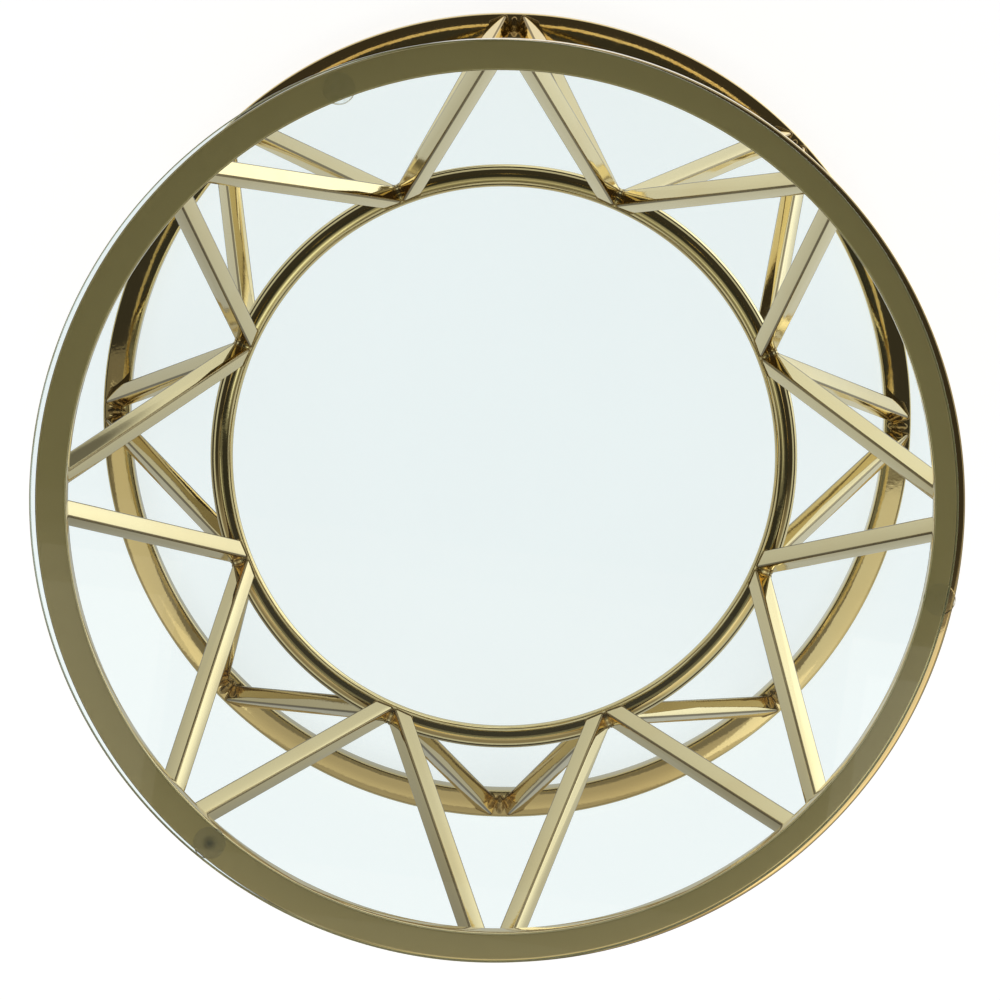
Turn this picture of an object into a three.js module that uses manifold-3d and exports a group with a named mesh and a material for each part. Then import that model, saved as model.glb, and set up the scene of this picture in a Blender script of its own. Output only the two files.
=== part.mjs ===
// Round side table: a loose clear glass top on an hourglass frame of polished brass tube.
// A square-tube ring at the top and at the base and a smaller round-tube ring at the waist
// are joined by slanting square-tube struts, which stand in pairs on the waist ring.
// Millimetres, +Z up. The origin is on the floor, under the centre of the frame.

import * as THREE from "three";
import { mergeVertices } from "three/addons/utils/BufferGeometryUtils.js";
import Module from "manifold-3d";

// ---------------------------------------------------------------- driving dimensions

const FRAME_DIAMETER = 600; // outside of the top and base rings
const OVERALL_HEIGHT = 590; // floor to the upper face of the glass
const WAIST_DIAMETER = 408; // outside of the waist ring

const RING_TUBE = 20; // side of the square tube of the top and base rings
const RING_WALL = 1.5;
const RING_CORNER = 2; // outside corner radius of that tube

const WAIST_TUBE = 16; // diameter of the round tube of the waist ring
const WAIST_WALL = 1.5;

const STRUT_TUBE = 12.7; // side of the square tube of the struts
const STRUT_WALL = 1.2;
const STRUT_CORNER = 1.6; // outside corner radius of that tube

const BAYS = 8; // V shapes round the frame, above and again below the waist
const WAIST_PAIR_GAP = -1.7; // between a bay's two struts at the waist tube's axis, where they cross
const RING_PAIR_GAP = 7.7; // between two neighbouring bays' struts at a big ring

const GLASS_INSET = 1; // edge of a centred glass inside the top ring's outer face
const GLASS_THICKNESS = 8;
const GLASS_ARRIS = 0.8; // ground edge of the glass
const GLASS_SHIFT = new THREE.Vector2(-4, 1); // the loose glass lies a little off centre

const BUMPER_DIAMETER = 21; // clear discs that keep the glass off the metal
const BUMPER_THICKNESS = 2;
const BUMPER_EDGE = 0.5;
const BUMPER_PLACES = [
  { azimuth: 112, outward: -2.5 },
  { azimuth: 230.5, outward: 0 },
  { azimuth: 349, outward: 0 },
]; // stuck on by hand: degrees round the ring, and distance outside its centre line

const FLOOR_PADS = 4;
const FLOOR_PAD_DIAMETER = 16;
const FLOOR_PAD_THICKNESS = 3;
const FLOOR_PAD_EDGE = 0.6;

const VENT_DIAMETER = 6; // holes under the strut feet that drain the hollow rings
const WELD_GAP = 0.3; // between a strut's cut end and the ring it is welded to
const SEAT_GAP = 0.2; // between pads and what they lie on

// ------------------------------------------------------------------ derived dimensions

const BAY_ANGLE = (2 * Math.PI) / BAYS;
const FRAME_TOP = OVERALL_HEIGHT - GLASS_THICKNESS - BUMPER_THICKNESS - 2 * SEAT_GAP;
const BASE_BOTTOM = FLOOR_PAD_THICKNESS + SEAT_GAP;
const RING_RADIUS = (FRAME_DIAMETER - RING_TUBE) / 2; // centre line of a big ring
const WAIST_RADIUS = (WAIST_DIAMETER - WAIST_TUBE) / 2; // centre line of the waist ring
const TOP_RING_HEIGHT = FRAME_TOP - RING_TUBE / 2;
const BASE_RING_HEIGHT = BASE_BOTTOM + RING_TUBE / 2;
const WAIST_HEIGHT = (TOP_RING_HEIGHT + BASE_RING_HEIGHT) / 2;
const GLASS_DIAMETER = FRAME_DIAMETER - 2 * GLASS_INSET;
const WAIST_SPREAD = STRUT_TUBE + WAIST_PAIR_GAP; // between the axes of a bay's two struts
const RING_SPREAD = STRUT_TUBE + RING_PAIR_GAP; // and of two neighbouring bays' struts

const RING_SEGMENTS = 72;
const CORNER_DIVISIONS = 1; // an arc takes two segments for each division
const WAIST_TUBE_DIVISIONS = 7;
const WAIST_BORE_DIVISIONS = 4;
const PAD_SEGMENTS = 24;
const VENT_SEGMENTS = 12;

// ------------------------------------------------------------------------- finishes

const polishedBrass = new THREE.MeshStandardMaterial({
  name: "polished_brass",
  color: 0xb99a55,
  metalness: 1,
  roughness: 0.12,
});
const clearGlass = new THREE.MeshStandardMaterial({
  name: "clear_glass",
  color: 0xe2f0ee,
  metalness: 0,
  roughness: 0.03,
  transparent: true,
  opacity: 0.25,
});
const clearSilicone = new THREE.MeshStandardMaterial({
  name: "clear_silicone",
  color: 0xd9dad2,
  metalness: 0,
  roughness: 0.35,
  transparent: true,
  opacity: 0.5,
});
const darkRubber = new THREE.MeshStandardMaterial({
  name: "dark_rubber",
  color: 0x2a2927,
  metalness: 0,
  roughness: 0.8,
});

// ------------------------------------------------------------------- solids and cuts

const wasm = await Module();
wasm.setup();

function solidFrom(geometry) {
  const bare = geometry.clone();
  bare.deleteAttribute("normal");
  bare.deleteAttribute("uv");
  const merged = mergeVertices(bare, 1e-4);
  return new wasm.Manifold(
    new wasm.Mesh({
      numProp: 3,
      vertProperties: merged.attributes.position.array,
      triVerts: new Uint32Array(merged.index.array),
    }),
  );
}

function geometryFrom(solid) {
  const mesh = solid.getMesh();
  const geometry = new THREE.BufferGeometry();
  const positions = new Float32Array(mesh.vertProperties);
  geometry.setAttribute("position", new THREE.BufferAttribute(positions, 3));
  geometry.setIndex(new THREE.BufferAttribute(new Uint32Array(mesh.triVerts), 1));
  geometry.computeVertexNormals();
  return geometry;
}

function point(radius, azimuth, height) {
  return new THREE.Vector3(radius * Math.cos(azimuth), radius * Math.sin(azimuth), height);
}

// A profile of (radius, height) points, turned about the Z axis.
function turned(profile, segments) {
  const points = profile.map(([radius, height]) => new THREE.Vector2(radius, height));
  return new THREE.LatheGeometry(points, segments).rotateX(Math.PI / 2);
}

function uprightCylinder(radius, height, segments) {
  return new THREE.CylinderGeometry(radius, radius, height, segments).rotateX(Math.PI / 2);
}

// A square with rounded corners, counter-clockwise about the origin.
function roundedSquare(side, corner) {
  const reach = side / 2 - corner;
  const outline = new THREE.Shape();
  outline.moveTo(side / 2, -reach);
  outline.absarc(reach, reach, corner, 0, Math.PI / 2);
  outline.absarc(-reach, reach, corner, Math.PI / 2, Math.PI);
  outline.absarc(-reach, -reach, corner, Math.PI, 1.5 * Math.PI);
  outline.absarc(reach, -reach, corner, 1.5 * Math.PI, 2 * Math.PI);
  return outline;
}

// The square bore of a tube, counter-clockwise about the origin.
function plainSquare(side) {
  const reach = side / 2;
  return new THREE.Shape([
    new THREE.Vector2(reach, -reach),
    new THREE.Vector2(reach, reach),
    new THREE.Vector2(-reach, reach),
    new THREE.Vector2(-reach, -reach),
  ]);
}

function circle(diameter) {
  return new THREE.Shape().absarc(0, 0, diameter / 2, 0, 2 * Math.PI);
}

// A tube section's outline carried round the Z axis, as a solid ring.
function solidRing(shape, divisions, radius, height) {
  const profile = shape.getPoints(divisions).map(({ x, y }) => [radius + x, height + y]);
  const first = profile[0];
  const last = profile[profile.length - 1];
  const open = Math.hypot(first[0] - last[0], first[1] - last[1]) > 1e-6;
  return solidFrom(turned(open ? [...profile, first] : profile, RING_SEGMENTS));
}

// ----------------------------------------------------------------------------- rings

// One hole through the wall at each of the given points on the ring's face.
function drilled(ring, points) {
  let result = ring;
  for (const { x, y, z } of points) {
    const hole = uprightCylinder(VENT_DIAMETER / 2, WAIST_TUBE, VENT_SEGMENTS);
    hole.translate(x, y, z);
    result = result.subtract(solidFrom(hole));
  }
  return result;
}

function squareTubeRing(height, ventPoints) {
  const section = roundedSquare(RING_TUBE, RING_CORNER);
  const bore = plainSquare(RING_TUBE - 2 * RING_WALL);
  const outside = solidRing(section, CORNER_DIVISIONS, RING_RADIUS, height);
  const inside = solidRing(bore, 1, RING_RADIUS, height);
  return drilled(outside.subtract(inside), ventPoints);
}

function waistSolid(diameter, divisions) {
  return solidRing(circle(diameter), divisions, WAIST_RADIUS, WAIST_HEIGHT);
}

function waistRing(ventPoints) {
  const outside = waistSolid(WAIST_TUBE, WAIST_TUBE_DIVISIONS);
  const inside = waistSolid(WAIST_TUBE - 2 * WAIST_WALL, WAIST_BORE_DIVISIONS);
  return drilled(outside.subtract(inside), ventPoints);
}

// ---------------------------------------------------------------------------- struts

// Angle that a strut's axis is turned from its bay's centre line, at each end.
const WAIST_OFFSET = Math.asin(WAIST_SPREAD / 2 / WAIST_RADIUS);
const RING_OFFSET = BAY_ANGLE / 2 - Math.asin(RING_SPREAD / 2 / RING_RADIUS);

// The axis ends of one strut, and the direction across its bay's leaning plane.
function strutLine(bay, hand, up) {
  const centre = (bay + 0.5) * BAY_ANGLE;
  const ringFace = up > 0 ? TOP_RING_HEIGHT - RING_TUBE / 2 : BASE_RING_HEIGHT + RING_TUBE / 2;
  const waistPoint = (way) => point(WAIST_RADIUS, centre + way * WAIST_OFFSET, WAIST_HEIGHT);
  const ringPoint = (way) => point(RING_RADIUS, centre + way * RING_OFFSET, ringFace);
  const across = ringPoint(1).sub(ringPoint(-1));
  const leaning = ringPoint(1).sub(waistPoint(1));
  return {
    waistEnd: waistPoint(hand),
    ringEnd: ringPoint(hand),
    normal: new THREE.Vector3().crossVectors(across, leaning).normalize(),
  };
}

// What the struts are cut back from: the waist ring with the weld gap round it.
const waistCutter = waistSolid(WAIST_TUBE + 2 * WELD_GAP, WAIST_TUBE_DIVISIONS);

// The layer between the waist ring's centre line and the near face of a big ring.
function strutLayer(up) {
  const reach = RING_TUBE / 2 + WELD_GAP;
  const end = up > 0 ? TOP_RING_HEIGHT - reach : BASE_RING_HEIGHT + reach;
  const depth = Math.abs(end - WAIST_HEIGHT);
  const layer = uprightCylinder(FRAME_DIAMETER, depth, 8);
  layer.translate(0, 0, (end + WAIST_HEIGHT) / 2);
  return solidFrom(layer);
}

const strutSection = roundedSquare(STRUT_TUBE, STRUT_CORNER);
strutSection.holes.push(plainSquare(STRUT_TUBE - 2 * STRUT_WALL));

function strutSolid({ waistEnd, ringEnd, normal }, layer) {
  const along = ringEnd.clone().sub(waistEnd);
  const length = along.length();
  along.normalize();
  const side = new THREE.Vector3().crossVectors(along, normal);
  const bar = new THREE.ExtrudeGeometry(strutSection, {
    depth: length + 2 * STRUT_TUBE,
    steps: 1,
    bevelEnabled: false,
    curveSegments: CORNER_DIVISIONS,
  });
  bar.applyMatrix4(new THREE.Matrix4().makeBasis(normal, side, along));
  bar.translate(waistEnd.x, waistEnd.y, waistEnd.z);
  return solidFrom(bar).subtract(waistCutter).intersect(layer);
}

// ------------------------------------------------------------------------- loose parts

// A disc with its two edges broken, standing on height zero.
function disc(diameter, thickness, edge, segments) {
  const radius = diameter / 2;
  const profile = [
    [0, 0],
    [radius - edge, 0],
    [radius, edge],
    [radius, thickness - edge],
    [radius - edge, thickness],
    [0, thickness],
  ];
  return turned(profile, segments);
}

// -------------------------------------------------------------------------- assembly

const table = new THREE.Group();

function add(name, geometry, material, x = 0, y = 0, z = 0) {
  const mesh = new THREE.Mesh(geometry, material);
  mesh.name = name;
  mesh.position.set(x, y, z);
  table.add(mesh);
}

const bays = [...Array(BAYS).keys()];
const bigRingVents = (up) => bays.map((bay) => strutLine(bay, -1, up).ringEnd);
const waistVents = bays.map((bay) => {
  const { waistEnd } = strutLine(bay, -1, 1);
  return waistEnd.setZ(WAIST_HEIGHT + WAIST_TUBE / 2);
});

add("base_ring", geometryFrom(squareTubeRing(BASE_RING_HEIGHT, bigRingVents(-1))), polishedBrass);
add("waist_ring", geometryFrom(waistRing(waistVents)), polishedBrass);
add("top_ring", geometryFrom(squareTubeRing(TOP_RING_HEIGHT, bigRingVents(1))), polishedBrass);

for (const [tier, up] of [
  ["lower", -1],
  ["upper", 1],
]) {
  const layer = strutLayer(up);
  for (const bay of bays) {
    for (const hand of [-1, 1]) {
      const number = 2 * bay + (hand > 0 ? 2 : 1);
      const label = String(number).padStart(2, "0");
      const strut = strutSolid(strutLine(bay, hand, up), layer);
      add(`${tier}_strut_${label}`, geometryFrom(strut), polishedBrass);
    }
  }
}

const floorPad = disc(FLOOR_PAD_DIAMETER, FLOOR_PAD_THICKNESS, FLOOR_PAD_EDGE, PAD_SEGMENTS);
for (let index = 0; index < FLOOR_PADS; index += 1) {
  const place = point(RING_RADIUS, (index * 2 * Math.PI) / FLOOR_PADS, 0);
  add(`floor_pad_${index + 1}`, floorPad, darkRubber, place.x, place.y, place.z);
}

const bumper = disc(BUMPER_DIAMETER, BUMPER_THICKNESS, BUMPER_EDGE, PAD_SEGMENTS);
BUMPER_PLACES.forEach(({ azimuth, outward }, index) => {
  const height = FRAME_TOP + SEAT_GAP;
  const place = point(RING_RADIUS + outward, THREE.MathUtils.degToRad(azimuth), height);
  add(`glass_bumper_${index + 1}`, bumper, clearSilicone, place.x, place.y, place.z);
});

add(
  "glass_top",
  disc(GLASS_DIAMETER, GLASS_THICKNESS, GLASS_ARRIS, RING_SEGMENTS),
  clearGlass,
  GLASS_SHIFT.x,
  GLASS_SHIFT.y,
  OVERALL_HEIGHT - GLASS_THICKNESS,
);

export default table;
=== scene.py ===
"""Round side table: a clear glass top lying on a welded hourglass frame of polished brass tube.

The sections follow the making of the table: the three rings, the struts between them, the
welds, the pads under the frame, the bumpers on it, and the glass. Metres, +Z up.
"""

import math

import bpy
from mathutils import Matrix, Vector


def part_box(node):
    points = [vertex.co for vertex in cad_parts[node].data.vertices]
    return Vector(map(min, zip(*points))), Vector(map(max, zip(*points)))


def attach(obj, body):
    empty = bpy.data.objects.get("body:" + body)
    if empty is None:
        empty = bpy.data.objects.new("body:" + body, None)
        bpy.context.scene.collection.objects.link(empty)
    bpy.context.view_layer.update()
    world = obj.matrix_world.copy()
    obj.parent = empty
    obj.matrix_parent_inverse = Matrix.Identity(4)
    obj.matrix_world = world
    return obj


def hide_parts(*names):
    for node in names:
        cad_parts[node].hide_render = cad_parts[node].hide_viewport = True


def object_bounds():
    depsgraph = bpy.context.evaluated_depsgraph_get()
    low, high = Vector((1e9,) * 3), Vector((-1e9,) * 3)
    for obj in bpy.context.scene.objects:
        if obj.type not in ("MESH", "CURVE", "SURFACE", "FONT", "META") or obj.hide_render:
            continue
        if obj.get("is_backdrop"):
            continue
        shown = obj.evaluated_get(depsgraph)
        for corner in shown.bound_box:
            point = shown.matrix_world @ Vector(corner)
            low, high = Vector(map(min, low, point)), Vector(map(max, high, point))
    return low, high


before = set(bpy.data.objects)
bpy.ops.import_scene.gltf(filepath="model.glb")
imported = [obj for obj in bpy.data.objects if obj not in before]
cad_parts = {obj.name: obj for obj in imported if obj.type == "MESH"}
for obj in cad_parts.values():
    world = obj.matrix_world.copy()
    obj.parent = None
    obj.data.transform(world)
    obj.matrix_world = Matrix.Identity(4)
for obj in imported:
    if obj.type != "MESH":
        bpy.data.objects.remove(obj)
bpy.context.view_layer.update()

# ------------------------------------------------------------------------- base ring
# The ring that stands on the floor: square brass tube with rounded corners, rolled to a
# circle, butt-welded and polished to a mirror. The lower struts are welded to its upper face.

RING_CORNER = 0.002
RING_STEPS = 360
CORNER_STEPS = 6
MERGE = 1e-5
SMOOTH_DEGREES = 35
TURN_TO_METRES = 0.01  # on the ring's map, from the angle round its tube


class Signal:
    """One output of a shader node. Sums and products of signals add their Math nodes."""

    def __init__(self, tree, socket=None):
        self.tree = tree
        self.socket = socket

    def node(self, kind, settings=None, inputs=None, output=0):
        made = self.tree.nodes.new(kind)
        for name, value in (settings or {}).items():
            setattr(made, name, value)
        for name, value in (inputs or {}).items():
            if isinstance(value, Signal):
                self.tree.links.new(value.socket, made.inputs[name])
            else:
                made.inputs[name].default_value = value
        return Signal(self.tree, made.outputs[output])

    def axes(self):
        """The x, y and z parts of a vector."""
        split = self.node("ShaderNodeSeparateXYZ", None, {"Vector": self})
        outputs = split.socket.node.outputs
        return [Signal(self.tree, outputs[axis]) for axis in "XYZ"]

    def maths(self, operation, first, *rest):
        values = dict(enumerate((first, *rest)))
        return self.node("ShaderNodeMath", {"operation": operation}, values)

    def __add__(self, other):
        return self.maths("ADD", self, other)

    __radd__ = __add__

    def __sub__(self, other):
        return self.maths("SUBTRACT", self, other)

    def __rsub__(self, other):
        return self.maths("SUBTRACT", other, self)

    def __mul__(self, other):
        return self.maths("MULTIPLY", self, other)

    __rmul__ = __mul__

    def __truediv__(self, other):
        return self.maths("DIVIDE", self, other)

    def ramp(self, low, high):
        """0 below low, 1 above high, smooth between."""
        inputs = {"Value": self, "From Min": low, "From Max": high}
        return self.node("ShaderNodeMapRange", {"interpolation_type": "SMOOTHSTEP"}, inputs)


def colour(red, green, blue):
    return (red, green, blue, 1.0)


def tint(factor, first, second):
    """A colour from first at factor 0 to second at factor 1."""
    inputs = {0: factor, 6: first, 7: second}
    return factor.node("ShaderNodeMix", {"data_type": "RGBA"}, inputs, output=2)


def blank_material(name):
    material = bpy.data.materials.new(name)
    material.use_nodes = True
    material.node_tree.nodes.clear()
    return material, Signal(material.node_tree)


def show(graph, shader, target="ShaderNodeOutputMaterial"):
    made = graph.tree.nodes.new(target)
    graph.tree.links.new(shader.socket, made.inputs["Surface"])


def noise(vector, scale, detail, roughness=0.5):
    """Cloudy noise with that many clouds to the metre."""
    inputs = {"Vector": vector, "Scale": scale, "Detail": detail, "Roughness": roughness}
    return vector.node("ShaderNodeTexNoise", None, inputs)


def relief_of(height, strength, depth):
    """The tilt of the surface where it rises and falls with height."""
    inputs = {"Strength": strength, "Distance": depth, "Height": height}
    return height.node("ShaderNodeBump", None, inputs)


BRASS = colour(0.91, 0.76, 0.42)
WARM_BRASS = colour(0.86, 0.66, 0.31)
WARMTH = 0.35
MIRROR_POLISH = 0.045
SATIN_BRASS = colour(0.36, 0.268, 0.098)
SATIN_ROUGHNESS = 0.3
SATIN_DULLNESS = 0.85
# the colour of painted shade, darker than the polished brass
PAINTED_SHADE_BRASS = colour(0.16, 0.115, 0.05)
DARKNESS = 0.85
POLISHING_LINES = (14.0, 900.0, 1.0)  # to the metre, along the tube and round it
POLISH_RELIEF = 0.0006


def brass_material(
    name, bright=BRASS, deep=WARM_BRASS, polish=MIRROR_POLISH, satin=None, dark=None
):
    """Mirror-polished brass. satin and dark give, from 0 to 1, where it is brushed, and where shade is
    painted into its colour.
    """
    material, graph = blank_material(name)
    place = graph.node("ShaderNodeTexCoord", output=3)
    along = graph.node("ShaderNodeUVMap", {"uv_map": "tube"})
    clouds = noise(place, 9.0, 3.0)
    smudges = noise(place, 46.0, 5.0, 0.6)
    stretched = graph.node("ShaderNodeMapping", None, {"Vector": along, "Scale": POLISHING_LINES})
    lines = noise(stretched, 1.0, 2.0)
    pebble = noise(place, 420.0, 2.0)
    waves = noise(place, 24.0, 1.0)

    metal = tint(clouds.ramp(0.42, 0.68) * WARMTH, bright, deep)
    smudged = smudges.ramp(0.52, 0.72)
    scratched = lines.ramp(0.66, 0.74)
    roughness = polish + smudged * 0.035 + scratched * 0.05
    metallic = 1.0
    if satin:
        brushed = satin(graph)
        metal = tint(brushed, metal, SATIN_BRASS)
        roughness = roughness + brushed * SATIN_ROUGHNESS
        metallic = 1 - brushed * SATIN_DULLNESS
    # painted shade: darkens the metal's colour where dark gives it
    if dark:
        metal = tint(dark(graph) * DARKNESS, metal, PAINTED_SHADE_BRASS)
    bump = relief_of(waves * 0.6 + pebble * 0.05 + lines * 0.02, 0.35, POLISH_RELIEF)
    surface = graph.node(
        "ShaderNodeBsdfPrincipled",
        None,
        {"Base Color": metal, "Metallic": metallic, "Roughness": roughness, "Normal": bump},
    )
    show(graph, surface)
    return material


def deselect():
    if bpy.context.object and bpy.context.object.mode != "OBJECT":
        bpy.ops.object.mode_set(mode="OBJECT")
    bpy.ops.object.select_all(action="DESELECT")


def named(name):
    """The new object, given its name, with its place put into its mesh."""
    piece = bpy.context.object
    piece.name = name
    piece.data.name = name
    bpy.ops.object.transform_apply(location=True, rotation=True, scale=True)
    return piece


def edit(piece, mode="VERT"):
    deselect()
    piece.select_set(True)
    bpy.context.view_layer.objects.active = piece
    bpy.ops.object.mode_set(mode="EDIT")
    bpy.ops.mesh.select_mode(type=mode)


def leave():
    bpy.ops.object.mode_set(mode="OBJECT")


def spun_ring(section):
    """Carries a section's outline round the Z axis and closes it to a ring."""
    edit(section)
    bpy.ops.mesh.select_all(action="SELECT")
    bpy.ops.mesh.delete(type="ONLY_FACE")
    bpy.ops.mesh.select_all(action="SELECT")
    bpy.ops.mesh.spin(
        steps=RING_STEPS, angle=2 * math.pi, center=(0, 0, 0), axis=(0, 0, 1), use_auto_merge=True
    )
    bpy.ops.mesh.select_all(action="SELECT")
    bpy.ops.mesh.remove_doubles(threshold=MERGE)
    bpy.ops.mesh.normals_make_consistent(inside=False)
    leave()
    return section


def smooth(piece, degrees=SMOOTH_DEGREES):
    deselect()
    piece.select_set(True)
    bpy.context.view_layer.objects.active = piece
    bpy.ops.object.shade_smooth_by_angle(angle=math.radians(degrees))


def ring_map(piece, radius, height):
    """A UV map in metres: along the ring, and round its tube."""
    layer = piece.data.uv_layers.new(name="tube")
    vertices = piece.data.vertices
    for face in piece.data.polygons:
        middle = math.atan2(face.center.y, face.center.x)
        outer = face.center.xy.length - radius
        turn = math.atan2(face.center.z - height, outer)
        for loop in face.loop_indices:
            point = vertices[piece.data.loops[loop].vertex_index].co
            across = math.atan2(point.y, point.x) - middle
            across -= 2 * math.pi * round(across / (2 * math.pi))
            round_tube = math.atan2(point.z - height, point.xy.length - radius) - turn
            round_tube -= 2 * math.pi * round(round_tube / (2 * math.pi))
            layer.data[loop].uv = (
                radius * (middle + across),
                TURN_TO_METRES * (turn + round_tube),
            )


def square_ring(name, node):
    low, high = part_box(node)
    tube = high.z - low.z
    radius = high.x - tube / 2
    height = (low.z + high.z) / 2
    deselect()
    bpy.ops.mesh.primitive_plane_add(
        size=tube, location=(radius, 0, height), rotation=(math.pi / 2, 0, 0)
    )
    ring = named(name)
    edit(ring)
    bpy.ops.mesh.select_all(action="SELECT")
    bpy.ops.mesh.bevel(offset=RING_CORNER, segments=CORNER_STEPS, affect="VERTICES")
    leave()
    spun_ring(ring)
    ring_map(ring, radius, height)
    smooth(ring)
    return ring


def fitted(piece, material, body, slot, *nodes):
    piece.data.materials.clear()
    piece.data.materials.append(material)
    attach(piece, body)
    if nodes:
        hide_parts(*nodes)


polished_brass = brass_material("polished_brass")
base_ring = square_ring("base_ring_tube", "base_ring")
fitted(base_ring, polished_brass, "frame", "polished_brass", "base_ring")

# ------------------------------------------------------------------------ waist ring
# The small ring half way up: round brass tube, rolled, welded and polished. All struts end
# on it, in pairs, above and below.

WAIST_TUBE_STEPS = 48

waist_low, waist_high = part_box("waist_ring")
waist_tube = waist_high.z - waist_low.z
waist_radius = waist_high.x - waist_tube / 2
waist_height = (waist_low.z + waist_high.z) / 2


def round_ring(name, tube):
    deselect()
    bpy.ops.mesh.primitive_circle_add(
        vertices=WAIST_TUBE_STEPS,
        radius=tube / 2,
        fill_type="NGON",
        location=(waist_radius, 0, waist_height),
        rotation=(math.pi / 2, 0, 0),
    )
    ring = spun_ring(named(name))
    ring_map(ring, waist_radius, waist_height)
    return ring


waist_ring = round_ring("waist_ring_tube", waist_tube)
smooth(waist_ring)
fitted(waist_ring, polished_brass, "frame", "polished_brass", "waist_ring")

# -------------------------------------------------------------------------- top ring
# The ring that carries the glass: the same square tube as the base ring. Its upper face is
# brushed satin where the glass covers it, and the rest has a mirror polish.

glass_low, glass_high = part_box("glass_top")
glass_centre = (glass_low + glass_high) / 2
glass_radius = (glass_high.x - glass_low.x) / 2
top_low, top_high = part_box("top_ring")
tube_side = top_high.z - top_low.z


def from_point(graph, across, along, middle):
    """How far a place lies from a middle, seen from above."""
    east = across - middle[0]
    north = along - middle[1]
    return graph.maths("SQRT", east * east + north * north)


def under_glass(graph):
    """1 on the ring's flat upper face, as far out as the glass reaches."""
    x, y, z = graph.node("ShaderNodeTexCoord", output=3).axes()
    reach = from_point(graph, x, y, glass_centre)
    covered = 1 - reach.ramp(glass_radius - 0.0015, glass_radius - 0.0005)
    face = z.ramp(top_high.z - 0.0006, top_high.z - 0.0002)
    return covered * face


satin_brass = brass_material("satin_brass", satin=under_glass)
top_ring = square_ring("top_ring_tube", "top_ring")
fitted(top_ring, satin_brass, "frame", "polished_brass", "top_ring")

# ---------------------------------------------------------------------------- struts
# Thirty-two straight lengths of small square tube, cut to fit and welded: in each of eight
# bays two lean from the base ring in to the waist ring, and two from there out to the top.

BAYS = 8
STRUT_TUBE = 0.0127
STRUT_CORNER = 0.0016
WAIST_SPREAD = 0.011  # between the axes of a bay's two struts at the waist
RING_SPREAD = 0.0204  # between the axes of neighbouring bays' struts at a big ring
STRUT_CORNER_STEPS = 4
MAP_RADIUS = 0.008  # turns the angle round the tube into metres on its map
CORNER_LINE = (0.07, 0.14)  # where the dark line begins to fade and ends, as an angle
CUT_MERGE = 2e-5

bay_angle = 2 * math.pi / BAYS
ring_radius = top_high.x - tube_side / 2
waist_offset = math.asin(WAIST_SPREAD / 2 / waist_radius)
ring_offset = bay_angle / 2 - math.asin(RING_SPREAD / 2 / ring_radius)


def painted_corner_shade(graph):
    """Painted shade: a thin dark line down each rounded corner of the tube, standing for the dark room that
    the corner mirrors.
    """
    down, across, flat = graph.node("ShaderNodeUVMap", {"uv_map": "tube"}).axes()
    off_corner = graph.maths("PINGPONG", across / MAP_RADIUS - math.pi / 4, math.pi / 4)
    return 1 - off_corner.ramp(*CORNER_LINE)


# the struts' rounded corners carry a painted dark line of shade
strut_brass = brass_material("strut_brass", dark=painted_corner_shade)


def polar(radius, azimuth, height):
    return Vector((radius * math.cos(azimuth), radius * math.sin(azimuth), height))


def strut_line(hand, ring_face):
    """The axis ends of a strut of the first bay, and the way square to the bay's plane."""
    middle = bay_angle / 2
    waist_end = polar(waist_radius, middle + hand * waist_offset, waist_height)
    ring_ends = [polar(ring_radius, middle + way * ring_offset, ring_face) for way in (-1, 1)]
    ring_end = ring_ends[1 if hand > 0 else 0]
    other = polar(waist_radius, middle + waist_offset, waist_height)
    normal = (ring_ends[1] - ring_ends[0]).cross(ring_ends[1] - other).normalized()
    return waist_end, ring_end, normal


def cut_strut(name, hand, ring_face, cutter):
    waist_end, ring_end, normal = strut_line(hand, ring_face)
    along = (ring_end - waist_end).normalized()
    length = (ring_end - waist_end).length + 2 * STRUT_TUBE
    deselect()
    bpy.ops.mesh.primitive_cube_add(size=1, location=(0, 0, length / 2))
    bpy.context.object.scale = (STRUT_TUBE, STRUT_TUBE, length)
    strut = named(name)
    edit(strut, "EDGE")
    bpy.ops.mesh.select_all(action="DESELECT")
    leave()
    for edge in strut.data.edges:
        ends = [strut.data.vertices[index].co for index in edge.vertices]
        edge.select = abs(ends[0].z - ends[1].z) > length / 2
    bpy.ops.object.mode_set(mode="EDIT")
    bpy.ops.mesh.bevel(offset=STRUT_CORNER, segments=STRUT_CORNER_STEPS, affect="EDGES")
    leave()
    layer = strut.data.uv_layers.new(name="tube")
    for face in strut.data.polygons:
        turn = math.atan2(face.center.y, face.center.x)
        for loop in face.loop_indices:
            point = strut.data.vertices[strut.data.loops[loop].vertex_index].co
            swing = math.atan2(point.y, point.x) - turn
            swing -= 2 * math.pi * round(swing / (2 * math.pi))
            layer.data[loop].uv = (point.z, MAP_RADIUS * (turn + swing))
    side = along.cross(normal)
    placed = Matrix((normal, side, along)).transposed().to_4x4()
    strut.data.transform(Matrix.Translation(waist_end) @ placed)
    outward = 1 if ring_face > waist_height else -1
    edit(strut, "FACE")
    bpy.ops.mesh.select_all(action="SELECT")
    bpy.ops.mesh.bisect(
        plane_co=(0, 0, ring_face),
        plane_no=(0, 0, outward),
        use_fill=True,
        clear_outer=True,
        clear_inner=False,
    )
    bpy.ops.mesh.select_all(action="SELECT")
    bpy.ops.mesh.bisect(
        plane_co=(0, 0, waist_height),
        plane_no=(0, 0, -outward),
        use_fill=True,
        clear_outer=True,
        clear_inner=False,
    )
    leave()
    coping = strut.modifiers.new("coping", "BOOLEAN")
    coping.operation = "DIFFERENCE"
    coping.solver = "EXACT"
    coping.object = cutter
    bpy.ops.object.modifier_apply(modifier="coping")
    edit(strut)
    bpy.ops.mesh.select_all(action="SELECT")
    bpy.ops.mesh.remove_doubles(threshold=CUT_MERGE)
    leave()
    smooth(strut)
    return strut


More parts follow.
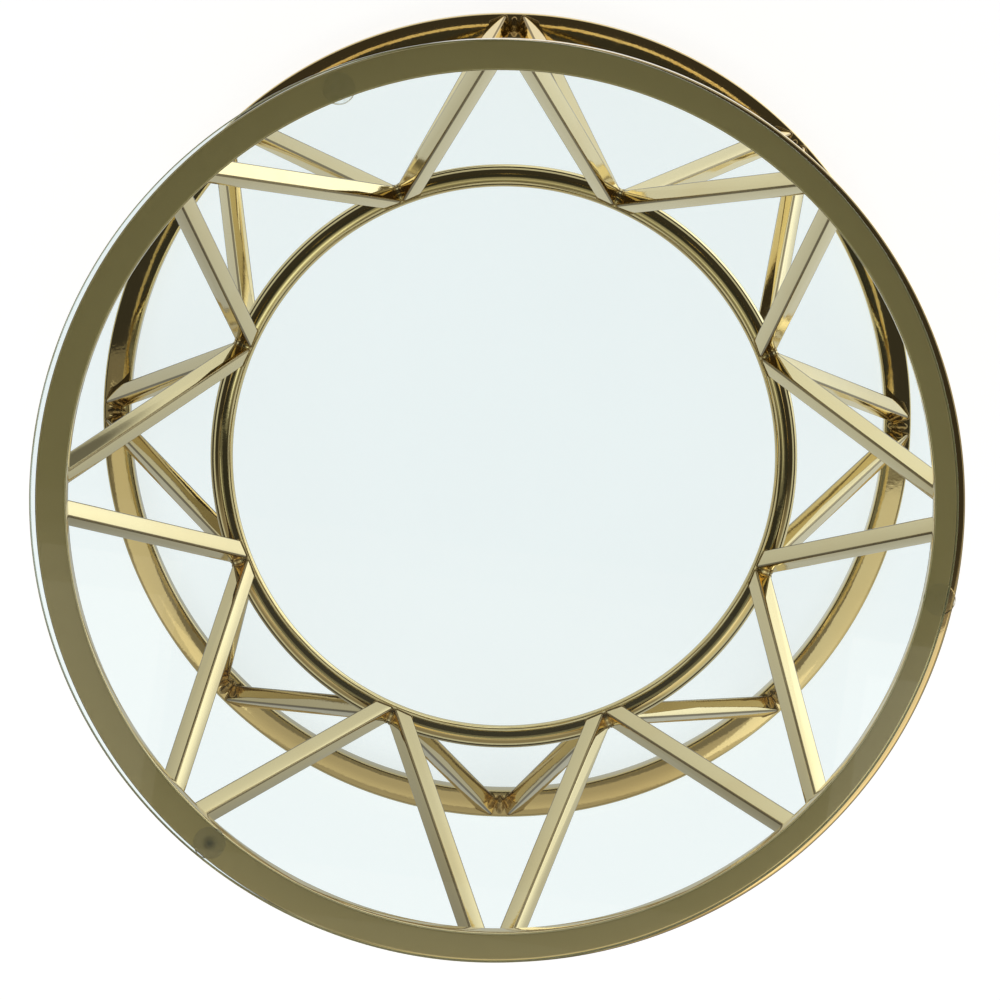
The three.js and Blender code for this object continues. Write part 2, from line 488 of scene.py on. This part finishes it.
def turned_copy(master, name, bay):
    copy = bpy.data.objects.new(name, master.data.copy())
    copy.data.name = name
    bpy.context.scene.collection.objects.link(copy)
    copy.data.transform(Matrix.Rotation(bay * bay_angle, 4, "Z"))
    return copy


base_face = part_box("base_ring")[1].z
tiers = (("lower", base_face), ("upper", top_low.z))
masters = {}
for tier, ring_face in tiers:
    for hand in (-1, 1):
        masters[tier, hand] = cut_strut(f"{tier}_master", hand, ring_face, waist_ring)
        for bay in range(BAYS):
            number = f"{2 * bay + (2 if hand > 0 else 1):02d}"
            strut = turned_copy(masters[tier, hand], f"{tier}_strut_tube_{number}", bay)
            fitted(strut, strut_brass, "frame", "polished_brass", f"{tier}_strut_{number}")

# ----------------------------------------------------------------------------- welds
# A fillet of weld metal runs round each strut's cut end, and a low bead fills the corner
# where two feet meet. They are brushed over and plated with the frame; their darker colour is painted shade,
# for the dark that these corners between the parts mirror.

FILLET_RADIUS = 0.0007
CAP_REACH = 0.0001
OUTLINE_MERGE = 0.0005
WELD_SMOOTH_DEGREES = 60
# painted shade: both weld colours are darker than the frame's brass
SHADED_WELD_BRASS = colour(0.55, 0.41, 0.19)
DEEPER_SHADED_WELD_BRASS = colour(0.34, 0.24, 0.11)
WELD_POLISH = 0.24
BEAD = (0.0076, 0.0036, 0.0024)  # half sizes of a corner bead, across the ring, along it, and up


def fillet(strut, is_cap, name):
    copy = bpy.data.objects.new(name, strut.data.copy())
    bpy.context.scene.collection.objects.link(copy)
    edit(copy, "FACE")
    bpy.ops.mesh.select_all(action="DESELECT")
    leave()
    for face in copy.data.polygons:
        face.select = all(is_cap(copy.data.vertices[index].co) for index in face.vertices)
    bpy.ops.object.mode_set(mode="EDIT")
    bpy.ops.mesh.region_to_loop()
    bpy.ops.mesh.duplicate()
    bpy.ops.mesh.separate(type="SELECTED")
    leave()
    outline = next(o for o in bpy.context.selected_objects if o is not copy)
    bpy.data.objects.remove(copy)
    edit(outline)
    bpy.ops.mesh.select_all(action="SELECT")
    bpy.ops.mesh.remove_doubles(threshold=OUTLINE_MERGE)
    leave()
    bpy.ops.object.convert(target="CURVE")
    outline.data.bevel_depth = FILLET_RADIUS
    outline.data.bevel_resolution = 3
    bpy.ops.object.convert(target="MESH")
    outline.name = name
    return outline


def corner_bead(azimuth, height, name):
    """A low bead of weld metal between two feet, across the ring, set in soft ripples."""
    deselect()
    bpy.ops.mesh.primitive_uv_sphere_add(segments=48, ring_count=24, radius=1)
    bpy.context.object.scale = BEAD
    bead = named(name)
    for vertex in bead.data.vertices:
        ripple = math.cos(3 * math.pi * vertex.co.x / BEAD[0] + 3 * azimuth)
        vertex.co.y *= 1 + 0.03 * ripple
        vertex.co.z *= 1 + 0.05 * ripple
    bead.data.transform(Matrix.Rotation(azimuth, 4, "Z"))
    bead.data.transform(Matrix.Translation(polar(ring_radius, azimuth, height)))
    return bead


def on_waist(point):
    reach = math.hypot(point.xy.length - waist_radius, point.z - waist_height)
    return abs(reach - waist_tube / 2) < CAP_REACH


def joined(pieces, name):
    deselect()
    for piece in pieces:
        piece.select_set(True)
    bpy.context.view_layer.objects.active = pieces[0]
    bpy.ops.object.join()
    return named(name)


weld_brass = brass_material("weld_brass", SHADED_WELD_BRASS, DEEPER_SHADED_WELD_BRASS, WELD_POLISH)
waist_fillets = []
for tier, ring_face in tiers:

    def on_ring(point, face=ring_face):
        return abs(point.z - face) < CAP_REACH

    feet = []
    for hand in (-1, 1):
        foot = fillet(masters[tier, hand], on_ring, f"{tier}_foot")
        shoulder = fillet(masters[tier, hand], on_waist, f"{tier}_shoulder")
        for bay in range(BAYS):
            feet.append(turned_copy(foot, f"{tier}_foot_{hand}_{bay}", bay))
            waist_fillets.append(turned_copy(shoulder, f"{tier}_shoulder_{hand}_{bay}", bay))
        bpy.data.objects.remove(foot)
        bpy.data.objects.remove(shoulder)
    for bay in range(BAYS):
        feet.append(corner_bead(bay * bay_angle, ring_face, f"{tier}_bead_{bay}"))
    ring_name = "base_ring_welds" if tier == "lower" else "top_ring_welds"
    welds = joined(feet, ring_name)
    smooth(welds, WELD_SMOOTH_DEGREES)
    fitted(welds, weld_brass, "frame", "polished_brass")
waist_welds = joined(waist_fillets, "waist_ring_welds")
smooth(waist_welds, WELD_SMOOTH_DEGREES)
fitted(waist_welds, weld_brass, "frame", "polished_brass")
for master in masters.values():
    bpy.data.objects.remove(master)

# ------------------------------------------------------------------------ floor pads
# Four moulded rubber discs stuck under the base ring, with a groove in the tread.

PAD_EDGE = 0.0006
PAD_STEPS = 64
TREAD_RIM = 0.0025
TREAD_DEPTH = 0.0006
RUBBER = colour(0.018, 0.018, 0.017)
DUSTY_RUBBER = colour(0.09, 0.085, 0.08)

rubber, graph = blank_material("dark_rubber")
place = graph.node("ShaderNodeTexCoord", output=3)
dusty = noise(place, 190.0, 4.0).ramp(0.5, 0.75)
surface = graph.node(
    "ShaderNodeBsdfPrincipled",
    None,
    {
        "Base Color": tint(dusty * 0.5, RUBBER, DUSTY_RUBBER),
        "Roughness": 0.6 + dusty * 0.25,
        "Normal": relief_of(noise(place, 1400.0, 3.0), 0.4, 0.0002),
    },
)
show(graph, surface)


def inset_face(disc, up, inset, depth=0.0):
    """Insets a disc's flat upper or lower face, and moves the middle along Z."""
    edit(disc, "FACE")
    bpy.ops.mesh.select_all(action="DESELECT")
    leave()
    largest = max(
        (face for face in disc.data.polygons if face.normal.z * up > 0.99), key=lambda face: face.area
    )
    largest.select = True
    bpy.ops.object.mode_set(mode="EDIT")
    bpy.ops.mesh.inset(thickness=inset)
    if depth:
        bpy.ops.mesh.extrude_region_move(TRANSFORM_OT_translate={"value": (0, 0, depth)})
    leave()


def round_disc(name, node, edge, steps):
    """A disc the size of a CAD node, with both rims rounded."""
    low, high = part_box(node)
    deselect()
    bpy.ops.mesh.primitive_cylinder_add(
        vertices=steps,
        radius=(high.x - low.x) / 2,
        depth=high.z - low.z,
        location=(low + high) / 2,
    )
    disc = named(name)
    edit(disc, "EDGE")
    bpy.ops.mesh.select_all(action="DESELECT")
    leave()
    for rim in disc.data.edges:
        ends = [disc.data.vertices[index].co for index in rim.vertices]
        rim.select = abs(ends[0].z - ends[1].z) < 1e-6
    bpy.ops.object.mode_set(mode="EDIT")
    bpy.ops.mesh.bevel(offset=edge, segments=3, affect="EDGES")
    leave()
    inset_face(disc, 1, edge)
    inset_face(disc, -1, edge)
    return disc


for index in range(1, 5):
    pad = round_disc(f"floor_pad_rubber_{index}", f"floor_pad_{index}", PAD_EDGE, PAD_STEPS)
    inset_face(pad, -1, TREAD_RIM, TREAD_DEPTH)
    smooth(pad)
    fitted(pad, rubber, "frame", "dark_rubber", f"floor_pad_{index}")

# -------------------------------------------------------------------- glass bumpers
# Three clear silicone discs, stuck by hand on the top ring. Each has a moulded dimple in its
# lower face, and they keep the glass off the metal. The one in front is greyer, with a darker middle.

BUMPER_EDGE = 0.0005
DIMPLE_RADIUS = 0.0035
DIMPLE_DEPTH = 0.0009
SPOT_RADIUS = 0.0065
SILICONE = colour(0.95, 0.95, 0.93)
CLOUDED_SILICONE = colour(0.88, 0.89, 0.86)
GREYER_SILICONE = colour(0.76, 0.77, 0.82)
DARKER_MIDDLE = colour(0.16, 0.2, 0.27)

silicone, graph = blank_material("clear_silicone")
place = graph.node("ShaderNodeTexCoord", output=3)
cloud = noise(place, 260.0, 3.0)
across, down, flat = graph.node("ShaderNodeUVMap", {"uv_map": "disc"}).axes()
in_front = (0 - place.axes()[1]).ramp(0.1, 0.18)
# the front bumper's middle is darker towards its centre
spot = (1 - from_point(graph, across, down, (0, 0)).ramp(0.0, SPOT_RADIUS)) * in_front
rubbed = tint(cloud.ramp(0.4, 0.7), SILICONE, CLOUDED_SILICONE)
rubbed = tint(in_front * 0.7, rubbed, GREYER_SILICONE)
surface = graph.node(
    "ShaderNodeBsdfPrincipled",
    None,
    {
        "Base Color": tint(spot * 0.9, rubbed, DARKER_MIDDLE),
        "Roughness": 0.12 + cloud * 0.1,
        "Normal": relief_of(cloud, 0.2, 0.0002),
        "IOR": 1.2,
        "Transmission Weight": 1.0,
    },
)


def ray(graph, kind):
    path = graph.node("ShaderNodeLightPath")
    return Signal(graph.tree, path.socket.node.outputs[f"Is {kind} Ray"])


def in_mirror(graph):
    """1 for a ray that has come from a mirrored surface, and hasn't been bent by glass."""
    return graph.maths("MAXIMUM", ray(graph, "Glossy") - ray(graph, "Transmission"), 0.0)


def show_clear(graph, surface, clear_colour):
    """Shows a clear surface, and lets shadow, diffuse and mirrored rays straight through it."""
    through = graph.maths("MAXIMUM", ray(graph, "Shadow"), ray(graph, "Diffuse"))
    through = graph.maths("MAXIMUM", through, in_mirror(graph))
    clear = graph.node("ShaderNodeBsdfTransparent", None, {"Color": clear_colour})
    show(graph, graph.node("ShaderNodeMixShader", None, {0: through, 1: surface, 2: clear}))


show_clear(graph, surface, SILICONE)

for index in range(1, 4):
    bumper = round_disc(f"glass_bumper_disc_{index}", f"glass_bumper_{index}", BUMPER_EDGE, PAD_STEPS)
    low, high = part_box(f"glass_bumper_{index}")
    flat_radius = (high.x - low.x) / 2 - BUMPER_EDGE
    inset_face(bumper, -1, flat_radius - DIMPLE_RADIUS, DIMPLE_DEPTH)
    smooth(bumper)
    layer = bumper.data.uv_layers.new(name="disc")
    for corner in bumper.data.loops:
        point = bumper.data.vertices[corner.vertex_index].co
        layer.data[corner.index].uv = (point - (low + high) / 2).xy
    fitted(bumper, silicone, "frame", "clear_silicone", f"glass_bumper_{index}")

# ------------------------------------------------------------------------- glass top
# A loose disc of clear float glass with a ground and polished edge. It has the faint
# blue-green of such glass, which is deepest in the edge.

GLASS_ARRIS = 0.0008
GLASS_STEPS = 360
FLAT = 0.9999
EDGE_BAND = 0.0012
GLASS_TINT = colour(0.872, 0.962, 0.985)
EDGE_TINT = colour(0.55, 0.72, 0.7)
SEEN_THROUGH_TINT = colour(0.92, 0.965, 0.975)

glass, graph = blank_material("clear_glass")
place = graph.node("ShaderNodeTexCoord", output=3)
x, y, z = place.axes()
reach = from_point(graph, x, y, glass_centre)
edge = reach.ramp(glass_radius - EDGE_BAND, glass_radius - EDGE_BAND / 2)
prints = noise(place, 11.0, 4.0).ramp(0.55, 0.8)
specks = noise(place, 900.0, 1.0)
surface = graph.node(
    "ShaderNodeBsdfPrincipled",
    None,
    {
        "Base Color": tint(edge, GLASS_TINT, EDGE_TINT),
        "Roughness": prints * 0.012 + edge * 0.06,
        "Normal": relief_of(edge * specks, 0.05, 0.0001),
        "IOR": 1.52,
        "Transmission Weight": 1.0,
    },
)
show_clear(graph, surface, SEEN_THROUGH_TINT)

glass_top = round_disc("glass_top_disc", "glass_top", GLASS_ARRIS, GLASS_STEPS)
smooth(glass_top)
for face in glass_top.data.polygons:
    if abs(face.normal.z) > FLAT:
        face.use_smooth = False
fitted(glass_top, glass, "glass", "clear_glass", "glass_top")

# ------------------------------------------------------------------ floor and lights
# A pale lit table, a wide soft sun and four soft boxes, in a dark room with a warm board, a
# window, a lit door and pale low walls. In the polished tube the table is uneven, with painted shade: its
# glow is darker towards -X and -Y, it ends about a metre out, and a dark stand is behind it.

FLOOR_SIZE = 60.0
TABLE_GLOW = 0.83
TABLE_WHITE = colour(0.4, 0.4, 0.4)
TABLE_END = (0.72, 1.25)  # how far out the mirrored table begins to fade, and ends
STAND_PLACE = (-0.2, 0.62)
STAND_EDGE = (0.13, 0.22)
STAND_DARKNESS = 0.85
LEAST_GLOW = 0.2
GLOW_RANGE = 0.6  # keeps the glow's colour below 1
MIRRORED_WHITE = colour(1.0, 0.98, 0.94)
BLACK = colour(0.0, 0.0, 0.0)

floor_paint, graph = blank_material("pale_table")
glow = graph.node("ShaderNodeEmission", None, {"Color": colour(1, 1, 1), "Strength": TABLE_GLOW})
white = graph.node("ShaderNodeBsdfDiffuse", None, {"Color": TABLE_WHITE})
lit = graph.node("ShaderNodeAddShader", None, {0: glow, 1: white})
x, y, z = graph.node("ShaderNodeTexCoord", output=3).axes()
table = 1 - from_point(graph, x, y, (0, 0)).ramp(*TABLE_END)
stand = 1 - from_point(graph, x, y, STAND_PLACE).ramp(*STAND_EDGE)
# painted shade: the mirrored glow is darker towards -X and -Y and lighter towards +X and +Y
slope = graph.maths("MAXIMUM", 0.62 + x * 0.4 + y * 0.65, LEAST_GLOW)
slope = slope * table * (1 - stand * STAND_DARKNESS)
uneven = tint(slope * GLOW_RANGE, BLACK, MIRRORED_WHITE)
uneven = graph.node("ShaderNodeEmission", None, {"Color": uneven, "Strength": 1 / GLOW_RANGE})
clear = graph.node("ShaderNodeBsdfTransparent")
mirrored = graph.node("ShaderNodeAddShader", None, {0: uneven, 1: clear})
seen = graph.node("ShaderNodeMixShader", None, {0: in_mirror(graph), 1: lit, 2: mirrored})
from_below = graph.node("ShaderNodeNewGeometry", output=6)
show(graph, graph.node("ShaderNodeMixShader", None, {0: from_below, 1: seen, 2: clear}))

deselect()
bpy.ops.mesh.primitive_plane_add(size=FLOOR_SIZE)
floor = named("floor")
floor.data.materials.append(floor_paint)
floor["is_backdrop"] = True

SUN_STRENGTH = 0.95
SUN_WIDTH = math.radians(70)
SUN_TILT = (math.radians(12), math.radians(-8), 0)

sun_light = bpy.data.lights.new("soft_sun", "SUN")
sun_light.energy = SUN_STRENGTH
sun_light.angle = SUN_WIDTH
soft_sun = bpy.data.objects.new("soft_sun", sun_light)
soft_sun.rotation_euler = SUN_TILT
soft_sun.visible_glossy = False
bpy.context.scene.collection.objects.link(soft_sun)

SOFT_BOXES = (  # name, middle, width and depth, colour, brightness
    ("wide_box", (-0.05, -0.45, 1.19), (1.6, 0.7), (1.0, 0.85, 0.62), 0.16),
    ("front_box", (-0.01, -0.47, 1.185), (0.74, 0.22), (1.0, 0.85, 0.62), 0.27),
    ("left_box", (-0.38, -0.27, 1.18), (0.24, 0.34), (1.0, 0.88, 0.68), 0.46),
    ("right_box", (0.4, -0.36, 1.18), (0.32, 0.36), (1.0, 0.93, 0.8), 0.54),
)
BOX_TURN = (0, 0, math.radians(-6.7))

for name, middle, (width, depth), light_colour, brightness in SOFT_BOXES:
    box_light = bpy.data.lights.new(name, "AREA")
    box_light.shape = "RECTANGLE"
    box_light.size = width
    box_light.size_y = depth
    box_light.color = light_colour
    box_light.energy = brightness * math.pi * width * depth
    soft_box = bpy.data.objects.new(name, box_light)
    soft_box.location = middle
    soft_box.rotation_euler = BOX_TURN
    soft_box.visible_camera = False
    bpy.context.scene.collection.objects.link(soft_box)

DARK_ROOM = colour(0.04, 0.034, 0.024)
WARM_BOARD = colour(0.27, 0.225, 0.16)
WINDOW = colour(0.8, 0.78, 0.74)
WINDOW_WAY = (0.66, 0.38, -0.64)
DOOR = colour(0.7, 0.6, 0.43)
DOOR_WAY = 0.71  # of +X and of -Y
LOW_WALL = colour(0.6, 0.58, 0.54)
BACKDROP = colour(0.9, 0.9, 0.9)

room = bpy.data.worlds.new("room")
bpy.context.scene.world = room
room.use_nodes = True
room.node_tree.nodes.clear()
graph = Signal(room.node_tree)
x, y, z = graph.node("ShaderNodeTexCoord").axes()
board = (0 - y).ramp(0.12, 0.3) * z.ramp(0.0, 0.15)
window = (x * WINDOW_WAY[0] + y * WINDOW_WAY[1] + z * WINDOW_WAY[2]).ramp(0.89, 0.99)
door_side = graph.maths("ABSOLUTE", x * DOOR_WAY + y * DOOR_WAY).ramp(0.16, 0.26)
door = (x * DOOR_WAY - y * DOOR_WAY).ramp(0.4, 0.5) * z.ramp(0.0, 0.1) * (1 - door_side)
low_wall = z.ramp(0.0, 0.04) * (1 - z.ramp(0.3, 0.42))
in_view = graph.maths("MAXIMUM", ray(graph, "Camera"), ray(graph, "Transmission"))
shade = tint(board, DARK_ROOM, WARM_BOARD)
shade = tint(window, shade, WINDOW)
shade = tint(door, shade, DOOR)
shade = tint(low_wall, shade, LOW_WALL)
shade = tint(in_view, shade, BACKDROP)
background = graph.node("ShaderNodeBackground", None, {"Color": shade, "Strength": 1.0})
show(graph, background, "ShaderNodeOutputWorld")

# ---------------------------------------------------------------------------- camera
# High above the table and a little behind it, looking almost straight down.

CAMERA_PLACE = Vector((0.02625, 0.42305, 4.184))
CAMERA_TARGET = Vector((0.0, 0.0035, 0.58))
CAMERA_ROLL = math.radians(1.05)
CAMERA_LENS = 202.6

back = (CAMERA_PLACE - CAMERA_TARGET).normalized()
up = Vector((-math.sin(CAMERA_ROLL), math.cos(CAMERA_ROLL), 0))
right = up.cross(back).normalized()
camera_data = bpy.data.cameras.new("camera")
camera_data.lens = CAMERA_LENS
camera = bpy.data.objects.new("camera", camera_data)
camera.matrix_world = (
    Matrix.Translation(CAMERA_PLACE) @ Matrix((right, back.cross(right), back)).transposed().to_4x4()
)
bpy.context.scene.collection.objects.link(camera)
bpy.context.scene.camera = camera

bpy.context.scene.view_settings.view_transform = "Standard"
bpy.context.scene.cycles.max_bounces = 24
bpy.context.scene.cycles.glossy_bounces = 12
bpy.context.scene.cycles.transmission_bounces = 16

low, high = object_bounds()
